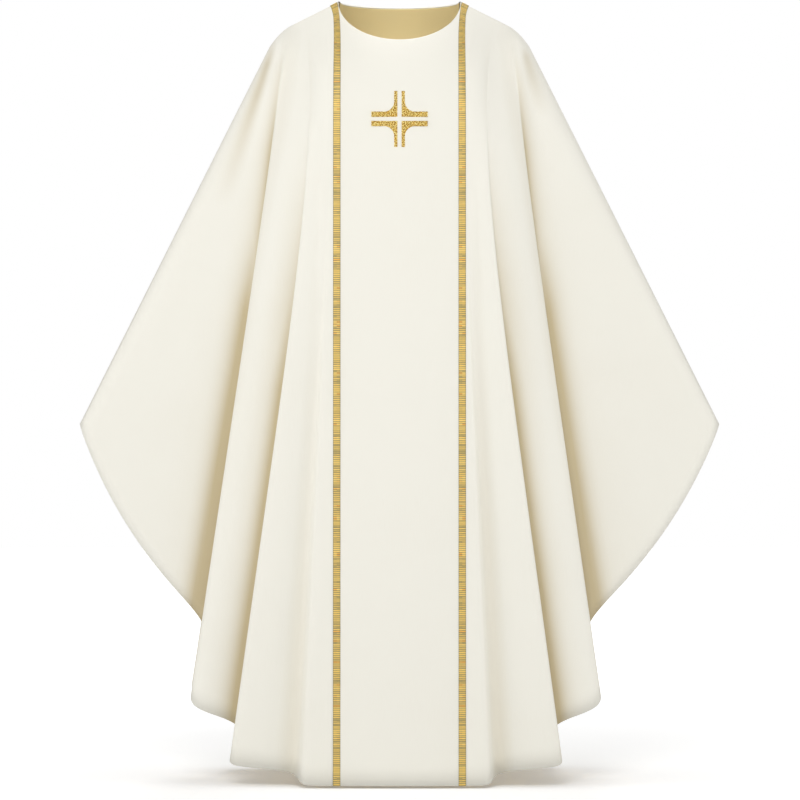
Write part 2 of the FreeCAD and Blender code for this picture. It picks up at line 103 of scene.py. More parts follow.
# %% The ribs of one side
ribs_of_side = [
    # name            top    line    hem    rise   forward start  grow
    ("seam",          0.000, 0.000, -0.002, 0.000,   0.0, 0.00, 1.0),
    ("column",        0.085, 0.000,  0.058, 0.000,   0.5, 0.30, 1.0),
    ("column_side",   0.145, -0.005, 0.100, 0.001,   1.0, 0.30, 1.0),
    ("column_edge",   0.190, -0.010, 0.126, 0.004,  -1.0, 0.30, 1.0),
    ("column_turn",   0.225, -0.012, 0.138, 0.011, -10.0, 0.30, 1.0),
    ("valley_side",   0.260, -0.010, 0.147, 0.021, -25.0, 0.30, 1.0),
    ("valley",        0.300, -0.006, 0.171, 0.031, -34.0, 0.30, 1.0),
    ("inner_rise",    0.345, -0.003, 0.219, 0.038, -17.0, 0.20, 1.0),
    ("inner_crest",   0.390, 0.000,  0.283, 0.043,  12.0, 0.12, 1.0),
    ("inner_side",    0.430, 0.001,  0.348, 0.047,  43.0, 0.12, 1.0),
    ("inner_edge",    0.465, 0.002,  0.398, 0.052,  68.0, 0.12, 1.0),
    ("inner_turn",    0.490, 0.005,  0.408, 0.066,  58.0, 0.12, 1.0),
    ("inner_back",    0.510, 0.008,  0.386, 0.092,  34.0, 0.12, 1.0),
    ("inner_tuck",    0.530, 0.013,  0.358, 0.122,   6.0, 0.12, 1.0),
    ("outer_start",   0.550, 0.026,  0.367, 0.151,   4.0, 0.06, 0.8),
    ("outer_rise",    0.575, 0.070,  0.420, 0.173,  28.0, 0.00, 0.7),
    ("outer_crest",   0.605, 0.116,  0.480, 0.187,  51.0, 0.00, 0.6),
    ("outer_side",    0.640, 0.150,  0.531, 0.202,  54.0, 0.00, 0.6),
    ("outer_edge",    0.675, 0.173,  0.558, 0.218,  46.0, 0.00, 0.6),
    ("outer_turn",    0.700, 0.180,  0.560, 0.245,  33.0, 0.00, 0.6),
    ("outer_back",    0.730, 0.185,  0.537, 0.286,  18.0, 0.00, 0.6),
    ("outer_tuck",    0.765, 0.192,  0.505, 0.337,   6.0, 0.00, 0.6),
    ("wing_start",    0.815, 0.203,  0.496, 0.398,   0.0, 0.00, 1.0),
    ("wing_inner",    0.870, 0.221,  0.525, 0.456,   0.0, 0.00, 1.0),
]
wing_shares = [0.20, 0.42, 0.62, 0.78, 0.90, 0.965, 1.0]
centre_shares = [0.0, 0.22, 0.42, 0.60, 0.76, 0.88, 0.96, 1.0]
hang = {("front", -1): (0.0, 1.00), ("front", 1): (-0.012, 0.97),
        ("back", -1): (0.009, 0.92), ("back", 1): (-0.005, 1.04)}
print(len(ribs_of_side) + len(wing_shares), "ribs on each side")


# %% Small helpers for blending numbers
def mix(a, b, share):
    return a + (b - a) * share


def smooth(x, low, high):
    """0 below low, 1 above high, and an even S between them."""
    t = min(1.0, max(0.0, (x - low) / (high - low)))
    return t * t * (3 - 2 * t)


row_shares = [(j / (rows - 1)) ** row_crowding for j in range(rows)]


# %% [markdown]
# ## The shoulder seam and the turn of the cloth
# The seam falls evenly from the neck and rolls over the shoulder's corner, and from there the fold
# over the arm runs straight to the wing's tip. Below that line the cloth turns from lying flat on
# the shoulder to hanging plumb, so its depth follows a parabola or a quarter circle with the
# distance from the line.

# %% Seam and turn
def seam_height(x):
    roll_from = mix(neck_half, shoulder_half, 0.7)
    roll = shoulder_drop - shoulder_slope * (shoulder_half - neck_half)
    over = max(0.0, (x - roll_from) / (shoulder_half - roll_from))
    return -shoulder_slope * (x - neck_half) - roll * over ** 2


seam_steps = [mix(neck_half, shoulder_half, i / 24) for i in range(25)]
seam_line = [(x, seam_height(x)) for x in seam_steps] + [(wing_reach, -wing_drop)]


def below_seam(x, z):
    """How far a point seen from the front lies from the shoulder seam and arm line."""
    gaps = []
    for (ax, az), (bx, bz) in zip(seam_line, seam_line[1:]):
        ux, uz = bx - ax, bz - az
        share = min(1.0, max(0.0, ((x - ax) * ux + (z - az) * uz) / (ux * ux + uz * uz)))
        gaps.append(math.hypot(x - ax - share * ux, z - az - share * uz))
    return min(gaps)


def turn(share, power):
    share = min(1.0, max(0.0, share))
    return (1 - (1 - share) ** 2) ** power


# %% The smooth contour of the body under the folds
def body_depth(face, x, t):
    top, hem = (chest_depth, front_hem_depth) if face == "front" else (blade_depth, back_hem_depth)
    inner = mix(neck_half + 0.004, column_half + 0.146 * (wing_reach - neck_half), t)
    outer = mix(shoulder_half - 0.006, neck_half + 0.53 * (wing_reach - neck_half), t)
    return mix(mix(top, hem, t), wing_depth, smooth(x, inner, outer))


# %% One rib of a side panel
def side_rib(face, side, rib):
    _, top, line, hem, rise, forward, start, grow = rib
    shift, size = hang[face, side]
    span = wing_reach - neck_half
    shift *= smooth(top, 0.02, 0.2)
    x_top = mix(neck_half, shoulder_half, top)
    x_line, x_hem = neck_half + line * span + shift * 0.5, neck_half + hem * span + shift
    z_top, z_hem = seam_height(x_top), -mix(length, wing_drop, rise)
    on_arm = smooth(top, 0.55, 0.87)
    fall, crest = (front_fall, 1.0) if face == "front" else (back_fall, 0.7)
    poles = []
    for t in row_shares:
        x = mix(x_line, x_hem, t) + (x_top - x_line) * (1 - t) ** line_settling
        z = mix(z_top, z_hem, t)
        grown = max(0.0, (t - start) / (1 - start)) ** grow if t > start else 0.0
        depth = body_depth(face, x, t) + forward / 1000 * size * grown
        bend = turn(below_seam(x, z) / mix(fall, arm_radius, on_arm), mix(crest, 0.5, on_arm))
        y = depth * bend if t else 0.0
        poles.append((side * x, -y if face == "front" else y, z))
    return np.array(poles)


# %% The ribs of a wing, out to the arm line
def arm_rib(side):
    return np.array([(side * mix(shoulder_half, wing_reach, t), 0, -mix(shoulder_drop, wing_drop, t))
                     for t in row_shares])


def wing_ribs(face, side, inner):
    arm = arm_rib(side)
    out_of_hem = np.array([side * (length - wing_drop), 0, -(wing_reach - neck_half)])
    out_of_hem /= np.linalg.norm(out_of_hem)
    made = []
    for share in wing_shares:
        rib = mix(inner, arm, share)
        for j, t in enumerate(row_shares):
            rib[j] += out_of_hem * wing_hem_bow * 4 * share * (1 - share) * t ** 3
            depth = mix(wing_depth, mix(arm_radius, arm_opening, t), share)
            y = depth * turn(below_seam(abs(rib[j][0]), rib[j][2])
                             / mix(arm_radius, tip_radius, t), 0.5)
            rib[j][1] = -y if face == "front" else y
        rib[0][1:] = 0, seam_height(abs(rib[0][0]))
        made.append(rib)
    made[-1] = arm
    return made


# %% One rib of the centre panel, from the neckline to the hem
def centre_rib(face, share):
    drop, neck_depth = ((front_neck_drop, front_neck_depth) if face == "front"
                        else (back_neck_drop, back_neck_depth))
    angle, across = share * math.pi / 2, abs(share)
    start = (neck_half * math.sin(angle), neck_depth * math.cos(angle), -drop * math.cos(angle))
    plumb = math.hypot(1, shoulder_slope)
    fall = mix(neck_fall, plumb * (front_fall if face == "front" else back_fall), across ** 2)
    power = mix(1.0, 1.0 if face == "front" else 0.7, across ** 2)
    poles = []
    for t in row_shares:
        z = mix(start[2], -length, t)
        x = mix(share * mix(neck_half, column_half, t), start[0], (1 - t) ** (2 * line_settling))
        depth = body_depth(face, neck_half, t) + chest_crown * (1 - share ** 2)
        y = mix(start[1], depth, turn((start[2] - z) / fall, power))
        poles.append((x, -y if face == "front" else y, z))
    return np.array(poles)


# %% [markdown]
# ## From ribs to cloth
# A cubic B-spline sheet takes the ribs as its control lines. It is smooth everywhere and passes
# through the outermost ones, so two panels that share a rib meet exactly at their seam. The
# weights of each control line are worked out once for all the places wanted, and multiplied out
# for the whole sheet at once.

# %% Weights of a clamped cubic B-spline
def spline_weights(count, at):
    at = np.asarray(at, dtype=float)
    knots = [0.0] * 3 + [float(k) for k in range(count - 2)] + [count - 3.0] * 3
    weights = np.zeros((len(at), count + 3))
    for i in range(count + 3):
        weights[:, i] = (knots[i] <= at) & (at < knots[i + 1])
    weights[at >= count - 3, count - 1] = 1
    for degree in (1, 2, 3):
        raised = np.zeros_like(weights)
        for i in range(count + 3 - degree):
            below, above = knots[i + degree] - knots[i], knots[i + degree + 1] - knots[i + 1]
            if below > 0:
                raised[:, i] += (at - knots[i]) / below * weights[:, i]
            if above > 0:
                raised[:, i] += (knots[i + degree + 1] - at) / above * weights[:, i + 1]
        weights = raised
    return weights[:, :count]


# %% A sheet of cloth that can be asked for its points
class Sheet:
    """One panel's outer surface. u runs across the ribs and v down them."""

    def __init__(self, face, ribs):
        self.poles, self.face = np.array(ribs), face
        self.u_end, self.v_end = len(ribs) - 3.0, rows - 3.0
        middle = self.normals(self.grid([1, 2, 3], [5, 6, 7]))[1, 1]
        self.turned = 1 if middle[1] * (-1 if face == "front" else 1) > 0 else -1

    def grid(self, us, vs):
        across, down = spline_weights(len(self.poles), us), spline_weights(rows, vs)
        return np.einsum("ai,ijc,bj->abc", across, self.poles, down)

    def points(self, us, vs):
        across, down = spline_weights(len(self.poles), us), spline_weights(rows, vs)
        ribs = (across @ self.poles.reshape(len(self.poles), -1)).reshape(len(us), rows, 3)
        return np.einsum("ajc,aj->ac", ribs, down)

    def normals(self, grid):
        normals = np.cross(np.gradient(grid, axis=1), np.gradient(grid, axis=0))
        normals /= np.maximum(np.linalg.norm(normals, axis=2, keepdims=True), 1e-12)
        return normals * getattr(self, "turned", 1)

    def short_of_hem(self, distance):
        """v at this distance above the hem. At its end a clamped cubic runs three times its last
        pole spacing for each unit of v."""
        return self.v_end - distance / length / (3 * (row_shares[-1] - row_shares[-2]))


sheets = {}
for face in ("front", "back"):
    sides = {}
    for side, word in ((-1, "right"), (1, "left")):
        ribs = [side_rib(face, side, rib) for rib in ribs_of_side]
        sides[side] = ribs + wing_ribs(face, side, ribs[-1])
        sheets[face, word] = Sheet(face, sides[side])
    centre = [centre_rib(face, s) for s in [-s for s in centre_shares[:0:-1]] + centre_shares]
    centre[0], centre[-1] = sides[-1][0], sides[1][0]
    sheets[face, "centre"] = Sheet(face, centre)
print(len(sheets), "sheets of cloth")

# %% [markdown]
# ## Life in the cloth
# Even a well pressed garment isn't a perfect surface: it has soft waves a few hands wide that
# follow the fall of the cloth, and the seams draw it in a little, with small puckers beside the
# stitches. Both fade out at the sheet's edges, so that neighbours still meet.

# %% Waves and puckers
random.seed(7)
waves = [(random.uniform(1.2, 5.5), random.uniform(0.3, 2.4), random.uniform(0, 6.28),
          random.uniform(0.5, 1.0)) for _ in range(9)]


def soft_waves(across, down):
    """A height field of long, low waves; across and down run from 0 to 1."""
    field = sum(a * np.sin(6.28 * (fx * across + fy * down) + phase) for fx, fy, phase, a in waves)
    return field / len(waves)


def seam_pucker(away, down):
    """Small ripples beside a seam; away is the distance from it and down the distance along it."""
    beat = np.sin(down * 6.28 / 0.031) + 0.6 * np.sin(down * 6.28 / 0.0187 + 1.7)
    return 0.00016 * beat * np.exp(-(away / 0.014) ** 2)


# %% [markdown]
# ## Hanging a piece of cloth
# Each piece starts as a flat grid, as cloth does, and every corner of the grid is carried to its
# place on the drape. While it is being placed, we also write down how far each corner lies along
# the cloth's own weave, as a UV map in metres, and how deep it lies in a fold, which the shell's
# colour shows as painted shade. The weave of the material then follows the cloth round its folds.
# Solidify gives the cloth its thickness last.

# %% A flat grid carried to its place
def lay_grid(name, places, uv, fold=None):
    """A mesh object made from a flat grid: places and uv are arrays over its corners."""
    across, down = places.shape[0] - 1, places.shape[1] - 1
    bm = bmesh.new()
    bmesh.ops.create_grid(bm, x_segments=across, y_segments=down, size=1)
    mesh = bpy.data.meshes.new(name)
    bm.to_mesh(mesh)
    bm.free()
    flat = np.empty(len(mesh.vertices) * 3)
    mesh.vertices.foreach_get("co", flat)
    flat = flat.reshape(-1, 3)
    i = np.rint((flat[:, 0] + 1) / 2 * across).astype(int)
    j = np.rint((flat[:, 1] + 1) / 2 * down).astype(int)
    mesh.vertices.foreach_set("co", places[i, j].ravel())
    corner = np.empty(len(mesh.loops), dtype=int)
    mesh.loops.foreach_get("vertex_index", corner)
    mesh.uv_layers.new(name="weave").data.foreach_set("uv", uv[i, j][corner].ravel())
    # The fold attribute holds painted shade for the material.
    if fold is not None:
        mesh.attributes.new("fold", "FLOAT", "POINT").data.foreach_set("value", fold[i, j])
    mesh.shade_smooth()
    mesh.update()
    piece = bpy.data.objects.new(name, mesh)
    bpy.context.scene.collection.objects.link(piece)
    return piece


def along_cloth(places):
    """Distances along the cloth: across each row and down each rib, as a UV map in metres."""
    across = np.zeros(places.shape[:2])
    down = np.zeros(places.shape[:2])
    across[1:] = np.cumsum(np.linalg.norm(np.diff(places, axis=0), axis=2), axis=0)
    down[:, 1:] = np.cumsum(np.linalg.norm(np.diff(places, axis=1), axis=2), axis=1)
    return np.stack([across, down], axis=2)


def face_outwards(piece, places, outward):
    """Turns the faces round if they look against the given outward normals."""
    middle = (places.shape[0] // 2, places.shape[1] // 2)
    centres = np.empty(len(piece.data.polygons) * 3)
    piece.data.polygons.foreach_get("center", centres)
    gaps = np.linalg.norm(centres.reshape(-1, 3) - places[middle], axis=1)
    if piece.data.polygons[int(np.argmin(gaps))].normal.dot(Vector(outward[middle])) < 0:
        piece.data.flip_normals()


def give_thickness(piece, thickness):
    """Thickness inwards from the outer face, as cloth has."""
    solid = piece.modifiers.new("thickness", "SOLIDIFY")
    solid.thickness, solid.offset, solid.use_even_offset = thickness, -1, False


# %% How deep each place lies in its fold, which the cloth's colour shows as painted shade
# These set the painted shade that the fold attribute carries.
fold_fade, fold_fade_power = 0.015, 1.3
full_overhang, full_run = 0.007, 0.012  # an overhang and a width under it that count as fully deep
dip_depth, dip_share = 0.020, 0.55


def shallow_depth(places):
    """How far the cloth lies below the mean around it: 0 on open cloth, 1 in the bottom of a dip."""
    depth = np.abs(places[:, :, 1])
    reach = 17
    padded = np.pad(depth, ((reach, reach), (0, 0)), mode="edge")
    mean = sum(padded[k:k + len(depth)] for k in range(2 * reach + 1)) / (2 * reach + 1)
    away_from_wing = np.linspace(1, 0, len(depth))[:, None]
    return np.clip((mean - depth) / dip_depth, 0, 1) * np.clip((away_from_wing - 0.2) * 6, 0, 1)


def painted_fold_shade(places):
    """Painted shade: also 1 under an overhanging fold, and fading over a thumb's width beside its
    edge.
    """
    out = np.abs(places[:, :, 0])
    steps = np.linalg.norm(np.diff(places, axis=0), axis=2)
    edge, fold_edge = out[0].copy(), np.full(out.shape[1], -1.0)
    overhang, run = np.zeros(out.shape[1]), np.zeros(out.shape[1])
    shade = np.zeros(out.shape)
    for i in range(1, len(out)):
        under = out[i] < edge
        begins = under & (run == 0)
        overhang, fold_edge = np.where(begins, 0, overhang), np.where(begins, edge, fold_edge)
        run = np.where(under, run + steps[i - 1], 0)
        overhang = np.where(under, np.maximum(overhang, edge - out[i]), overhang)
        beside = np.exp(-(np.maximum(out[i] - fold_edge, 0) / fold_fade) ** fold_fade_power)
        shade[i] = np.clip(overhang / full_overhang, 0, 1) * np.where(
            under, np.clip(run / full_run, 0, 1), np.where(fold_edge > 0, beside, 0))
        edge = np.maximum(edge, out[i])
    return np.maximum(dip_share * shallow_depth(places), shade)


def painted_crease_shade(us, places):
    """Painted shade where the two folds begin as creases below the shoulder, along the ribs that are
    tucked behind.
    """
    names = [rib[0] for rib in ribs_of_side]
    fallen = -places[:, :, 2]
    shade = 0
    for rib, share, begins, fades in (("outer_tuck", 0.90, 0.090, 0.16),
                                      ("inner_tuck", 0.75, 0.26, 0.25)):
        beside = (us - names.index(rib) + 1)[:, None]
        width = np.where(beside > 0, 1.9, 1.2)
        shade = np.maximum(shade, share * np.exp(-(beside / width) ** 2)
                           * np.clip((fallen - begins) / fades, 0, 1))
    return shade


# %% [markdown]
# ## The shell panels
# The ivory shell is cut as a centre panel and two side panels, front and back, because no cloth is
# loomed wide enough for the whole. Each one is a sheet of its own that hangs from the shoulder
# seams and from its neighbours.

# %% The creases under the shoulder corners
shoulder_creases = {  # across and height of both ends, and how deep
    ("front", "right"): ((-0.213, -0.080), (-0.298, -0.343), 1.0),
    ("front", "left"): ((0.209, -0.084), (0.240, -0.200), 0.6),
    ("back", "right"): ((-0.210, -0.084), (-0.262, -0.250), 0.7),
    ("back", "left"): ((0.212, -0.082), (0.280, -0.300), 0.8),
}


def shoulder_crease(face, word, places):
    """How strongly each place lies in the crease that runs down from the shoulder corner."""
    if (face, word) not in shoulder_creases:
        return np.zeros(places.shape[:2])
    start, end, strength = shoulder_creases[face, word]
    start, run = np.array(start), np.array(end) - np.array(start)
    off = places[:, :, [0, 2]] - start
    share = off @ run / (run @ run)
    away = np.abs(off[:, :, 0] * run[1] - off[:, :, 1] * run[0]) / np.linalg.norm(run)
    width = 0.006 + 0.012 * np.clip(share, 0, 1)
    along = np.clip((share + 0.05) / 0.15, 0, 1) * np.clip((1 - share) / 0.7, 0, 1)
    return strength * np.exp(-(away / width) ** 2) * along


def hang_shell(face, word):
    sheet = sheets[face, word]
    wide, tall = (170, 210) if word != "centre" else (64, 210)
    us = np.linspace(0, sheet.u_end, wide + 1)
    vs = sheet.v_end * np.linspace(0, 1, tall + 1) ** 1.15
    flat = sheet.grid(us, vs)
    outward = sheet.normals(flat)
    uv = along_cloth(flat)
    across = np.linspace(0, 1, wide + 1)[:, None]
    down = np.linspace(0, 1, tall + 1)[None, :]
    inside = np.clip(np.minimum(across, 1 - across) * 12, 0, 1) * np.clip(down * 8, 0, 1)
    lift = 0.0014 * soft_waves(across + (face == "back"), down) * inside
    lift = lift + seam_pucker(uv[:, :, 0], uv[:, :, 1]) * np.clip(across * 60, 0, 1)
    seam_draw = 0.0005 * np.exp(-(uv[:, :, 1] / 0.0025) ** 2) * (word != "centre")
    crease = shoulder_crease(face, word, flat)
    places = flat + outward * (lift - seam_draw - 0.0009 * crease)[:, :, None]
    # The fold attribute is painted shade: it colours the cloth darker and warmer under and beside the
    # folds, down the tucked ribs and in the shoulder crease; the shoulder crease is also pressed into
    # the cloth.
    fold = np.zeros(flat.shape[:2])
    if word != "centre":
        from_seam = us if flat[0, -1, 0] ** 2 < flat[-1, -1, 0] ** 2 else us[::-1]
        fold = np.maximum(painted_fold_shade(flat), np.maximum(painted_crease_shade(from_seam, flat), 0.6 * crease))
    piece = lay_grid(f"shell_{face}_{word}", places, uv, fold)
    face_outwards(piece, places, outward)
    give_thickness(piece, cloth)
    return piece


shell = {key: hang_shell(*key) for key in sheets}
for (face, word), piece in shell.items():
    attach(piece, "root")
    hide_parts(f"{face}_{word}_panel")
print(len(shell), "shell panels,", sum(len(p.data.polygons) for p in shell.values()), "faces")

# %% [markdown]
# ## The lining
# A satin lining hangs inside the shell with a little ease, cut like it but 9 mm shorter, so it
# can't show below the hem. It is seen in the neck, in the open wings and from below.


# %% Hang the lining
def inner_sheet(name, face, word, depth, v_from, v_to, wide, tall):
    """A grid inside the shell, at a depth below its outer face and between two levels; the upper
    level may differ from rib to rib."""
    sheet = sheets[face, word]
    us = np.linspace(0, sheet.u_end, wide + 1)
    v_from = np.broadcast_to(v_from, us.shape)[:, None]
    vs = v_from + (v_to - v_from) * np.linspace(0, 1, tall + 1)
    flat = sheet.points(np.repeat(us, tall + 1), vs.ravel()).reshape(wide + 1, tall + 1, 3)
    outward = sheet.normals(flat)
    places = flat - outward * depth
    piece = lay_grid(name, places, along_cloth(flat))
    face_outwards(piece, places, outward)
    return piece


lining_pieces = {}
for (face, word), sheet in sheets.items():
    wide = 48 if word == "centre" else 110
    piece = inner_sheet(f"lining_{face}_{word}", face, word, cloth + ease, 0,
                        sheet.short_of_hem(lining_short), wide, 150)
    give_thickness(piece, lining)
    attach(piece, "root")
    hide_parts(f"{face}_{word}_lining")
    lining_pieces[face, word] = piece
print(len(lining_pieces), "lining panels")

# %% [markdown]
# ## The turned-up hem
# The shell's hem is folded up 25 mm inside and slip-stitched, which makes the edge heavier and a
# little thicker. Only its inside shows, from below, as a band of shell cloth under the lining's
# edge.

# %% Turn up the hem
hem_turn = 0.025
hem_thickness = 0.0008
hems = {}


def top_of_hem(sheet, wide):
    """v at the top of the turned-up band, rib by rib. The band keeps its width square to the edge,
    also where the hem runs slantwise across the ribs."""
    us, small = np.linspace(0, sheet.u_end, wide + 1), 0.02
    edge = sheet.points(us, np.full(len(us), sheet.v_end))
    down = (edge - sheet.points(us, np.full(len(us), sheet.v_end - small))) / small
    along = np.gradient(edge, axis=0)
    along /= np.linalg.norm(along, axis=1, keepdims=True)
    return sheet.v_end - hem_turn / np.linalg.norm(np.cross(down, along), axis=1)


for (face, word), sheet in sheets.items():
    wide = 48 if word == "centre" else 130
    piece = inner_sheet(f"hem_{face}_{word}", face, word, cloth + 0.0001,
                        top_of_hem(sheet, wide), sheet.v_end, wide, 6)
    give_thickness(piece, hem_thickness)
    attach(piece, "root")
    hems[face, word] = piece
print(len(hems), "turned-up hems")

# %% [markdown]
# ## Finding a place on the cloth
# The braid and the embroidery are sewn on, so they need places on the cloth for points that are
# given a little off it. From a first guess we step along the sheet towards the point, as one would
# slide a pin over the cloth, until there is no nearer place.


# %% Slide to the nearest place on a sheet
def slide(sheet, us, vs, aims):
    """Nearest places on the sheet to the aims, with outward normals, from first guesses."""
    us, vs, small = us.copy(), vs.copy(), 0.01
    for _ in range(6):
        here = sheet.points(us, vs)
        along_u = (sheet.points(np.clip(us + small, 0, sheet.u_end), vs)
                   - sheet.points(np.clip(us - small, 0, sheet.u_end), vs))
        along_u /= (np.clip(us + small, 0, sheet.u_end)
                    - np.clip(us - small, 0, sheet.u_end))[:, None]
        along_v = (sheet.points(us, np.clip(vs + small, 0, sheet.v_end))
                   - sheet.points(us, np.clip(vs - small, 0, sheet.v_end)))
        along_v /= (np.clip(vs + small, 0, sheet.v_end)
                    - np.clip(vs - small, 0, sheet.v_end))[:, None]
        miss = aims - here
        a, b, c = (np.einsum("kc,kc->k", p, q) for p, q in
                   ((along_u, along_u), (along_u, along_v), (along_v, along_v)))
        p, q = np.einsum("kc,kc->k", miss, along_u), np.einsum("kc,kc->k", miss, along_v)
        det = np.maximum(a * c - b * b, 1e-15)
        us = np.clip(us + (p * c - q * b) / det, 0, sheet.u_end)
        vs = np.clip(vs + (q * a - p * b) / det, 0, sheet.v_end)
    normals = np.cross(along_v, along_u)
    normals /= np.linalg.norm(normals, axis=1, keepdims=True)
    return sheet.points(us, vs), normals * sheet.turned


# %% [markdown]
# ## The galloons
# A galloon is a narrow braid that covers the seam between column and wing. This one is woven of
# gold yarn in ribs across its width, about three to a centimetre, between two firm edges. The ribs
# are real relief, because they catch the light one by one. The braid stands off the seam beside
# the neck, so it clears the opening, and then follows the seam to the hem.

# %% The path of a galloon over the cloth
galloon_rib = 0.0031
lanes = np.array([-1.0, -0.93, -0.84, -0.74, -0.45, 0.0, 0.45, 0.74, 0.84, 0.93, 1.0])


def galloon_path(face, side):
    """Places on the cloth under the braid, for stations down it and lanes across it."""
    outer, inner = sheets[face, "left" if side > 0 else "right"], sheets[face, "centre"]
    stations = 170
    vs = outer.v_end * np.linspace(0, 1, stations) ** 1.3
    on_seam = outer.points(np.zeros(stations), vs)
    fallen = -on_seam[:, 2]
    flare = galloon_flare * np.exp(-fallen / galloon_flare_fall)
    places = np.zeros((len(lanes), stations, 3))
    normals = np.zeros_like(places)
    for lane, across in enumerate(lanes):
        offset = flare + galloon_width / 2 * across
        slant = -shoulder_slope * offset * np.maximum(0, 1 - fallen / galloon_flare_fall)
        aims = on_seam + np.stack([side * offset, 0 * offset, slant], axis=1)
        on_wing = slide(outer, np.full(stations, 0.02), vs, aims)
        edge = inner.u_end - 0.02 if side > 0 else 0.02
        on_column = slide(inner, np.full(stations, edge), vs, aims)
        use_wing = (offset >= 0)[:, None]
        places[lane] = np.where(use_wing, on_wing[0], on_column[0])
        normals[lane] = np.where(use_wing, on_wing[1], on_column[1])
    places[:, 0, 1] = 0
    normals[:, 0] = np.array([side * shoulder_slope, 0, 1]) / math.hypot(1, shoulder_slope)
    return places, normals


# %% Weave the ribs
def rib_relief(distance, across):
    """Height of the braid over the cloth: ribs between two corded edges."""
    rib = np.abs(np.sin(math.pi * distance / galloon_rib)) ** 0.6
    body = 0.00045 + 0.00042 * rib
    edge = 0.00050 + 0.00012 * np.abs(np.sin(math.pi * distance / galloon_rib * 2))
    at_edge = np.clip((abs(across) - 0.80) / 0.08, 0, 1)
    return mix(body, edge, at_edge) * (1 if abs(across) < 0.99 else 0.25)


def weave_galloon(face, side):
    places, normals = galloon_path(face, side)
    down = np.zeros(places.shape[1])
    down[1:] = np.cumsum(np.linalg.norm(np.diff(places[5], axis=0), axis=1))
    steps = int(down[-1] / galloon_rib) * 4
    fine = np.linspace(0, down[-1], steps + 1)

    def refine(values):
        return np.stack([np.interp(fine, down, values[:, c]) for c in range(3)], axis=1)

    surface = np.zeros((len(lanes), steps + 1, 3))
    for lane, across in enumerate(lanes):
        lift = seat + rib_relief(fine, across)
        surface[lane] = refine(places[lane]) + refine(normals[lane]) * lift[:, None]
    uv = np.zeros((len(lanes), steps + 1, 2))
    uv[:, :, 0] = (lanes * galloon_width / 2)[:, None]
    uv[:, :, 1] = fine[None, :]
    name = f"galloon_{face}_{'left' if side > 0 else 'right'}"
    piece = lay_grid(name, surface, uv)
    outward = np.stack([refine(normals[lane]) for lane in range(len(lanes))])
    face_outwards(piece, surface, outward)
    give_thickness(piece, 0.0004)
    return piece


galloons = {}
for face in ("front", "back"):
    for side, word in ((1, "left"), (-1, "right")):
        piece = weave_galloon(face, side)
        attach(piece, "root")
        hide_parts(f"{face}_{word}_galloon")
        galloons[face, word] = piece
print(len(galloons), "galloons,", len(galloons["front", "left"].data.polygons), "faces each")

# %% [markdown]
# ## The embroidered cross
# The cross is four quarters in gold thread, each a level arm and an upright arm joined by a hollow
# curve. An embroidery machine fills such a shape over a padded underlay with rows of short
# stitches, and shifts each row so that the stitch ends make a brick pattern. We do the same: an
# underlay first, and then every stitch as a small rounded bar.

# %% The outline of a quarter
reach, gap = cross_size / 2, cross_gap / 2
bar_top, post_side = gap + cross_bar, gap + cross_post
curve_points = [(post_side + cross_flare, bar_top),
                (post_side + 0.26 * cross_flare, bar_top + 0.22 * cross_flare),
                (post_side, bar_top + 0.8 * cross_flare)]


def circle_through(a, b, c):
    """Centre and radius of the circle through three points."""
    (ax, ay), (bx, by), (cx, cy) = a, b, c
    d = 2 * (ax * (by - cy) + bx * (cy - ay) + cx * (ay - by))
    sa, sb, sc = ax * ax + ay * ay, bx * bx + by * by, cx * cx + cy * cy
    x = (sa * (by - cy) + sb * (cy - ay) + sc * (ay - by)) / d
    y = (sa * (cx - bx) + sb * (ax - cx) + sc * (bx - ax)) / d
    return x, y, math.hypot(ax - x, ay - y)


hollow_x, hollow_z, hollow_radius = circle_through(*curve_points)


def row_end(z):
    """Where a level row of stitches ends, at height z above the cross's centre."""
    if z <= bar_top:
        return reach
    if z <= curve_points[2][1]:
        return hollow_x - math.sqrt(max(0.0, hollow_radius ** 2 - (z - hollow_z) ** 2))
    return post_side


def quarter_outline():
    start = math.atan2(curve_points[0][1] - hollow_z, curve_points[0][0] - hollow_x)
    end = math.atan2(curve_points[2][1] - hollow_z, curve_points[2][0] - hollow_x)
    arc = [mix(start, end, k / 12) for k in range(13)]
    hollow = [(hollow_x + hollow_radius * math.cos(a), hollow_z + hollow_radius * math.sin(a))
              for a in arc]
    return ([(gap, gap), (reach, gap), (reach, bar_top)] + hollow
            + [(post_side, reach), (gap, reach)])


print("hollow curve radius", round(hollow_radius * 1000, 1), "mm")


# %% One stitch, and a quarter filled with them
def add_stitch(bm, start, end, width, height, base):
    """A rounded bar of thread from start to end, in the flat before it is laid on the chest."""
    middle, heading = (start + end) / 2, math.atan2(end.y - start.y, end.x - start.x)
    made = bmesh.ops.create_uvsphere(bm, u_segments=6, v_segments=5, radius=1)["verts"]
    place = (Matrix.Translation((middle.x, middle.y, base)) @ Matrix.Rotation(heading, 4, "Z")
             @ Matrix.Diagonal(((end - start).length / 2, width / 2, height / 2, 1)))
    for vert in made:
        x, y, z = vert.co
        vert.co = place @ Vector((math.copysign(abs(z) ** 0.55, z), x, y + 0.6))


def stitch_row(bm, row, z):
    """One level row of stitches, made apart and then added, which keeps the work short."""
    pitch, stitch = 0.0034, 0.0034
    x, stop = gap - (row % 3) * pitch / 3, row_end(z)
    one_row = bmesh.new()
    while x < stop:
        a, b = max(x, gap), min(x + stitch * random.uniform(0.9, 1.1), stop)
        if b - a > 0.0005:
            wobble = random.uniform(-0.00005, 0.00005)
            add_stitch(one_row, Vector((a, z + wobble, 0)), Vector((b, z - wobble, 0)),
                       0.00060, 0.00050, 0.00075)
        x = b if b > x else x + pitch
    loose = bpy.data.meshes.new("row")
    one_row.to_mesh(loose)
    one_row.free()
    bm.from_mesh(loose)
    bpy.data.meshes.remove(loose)


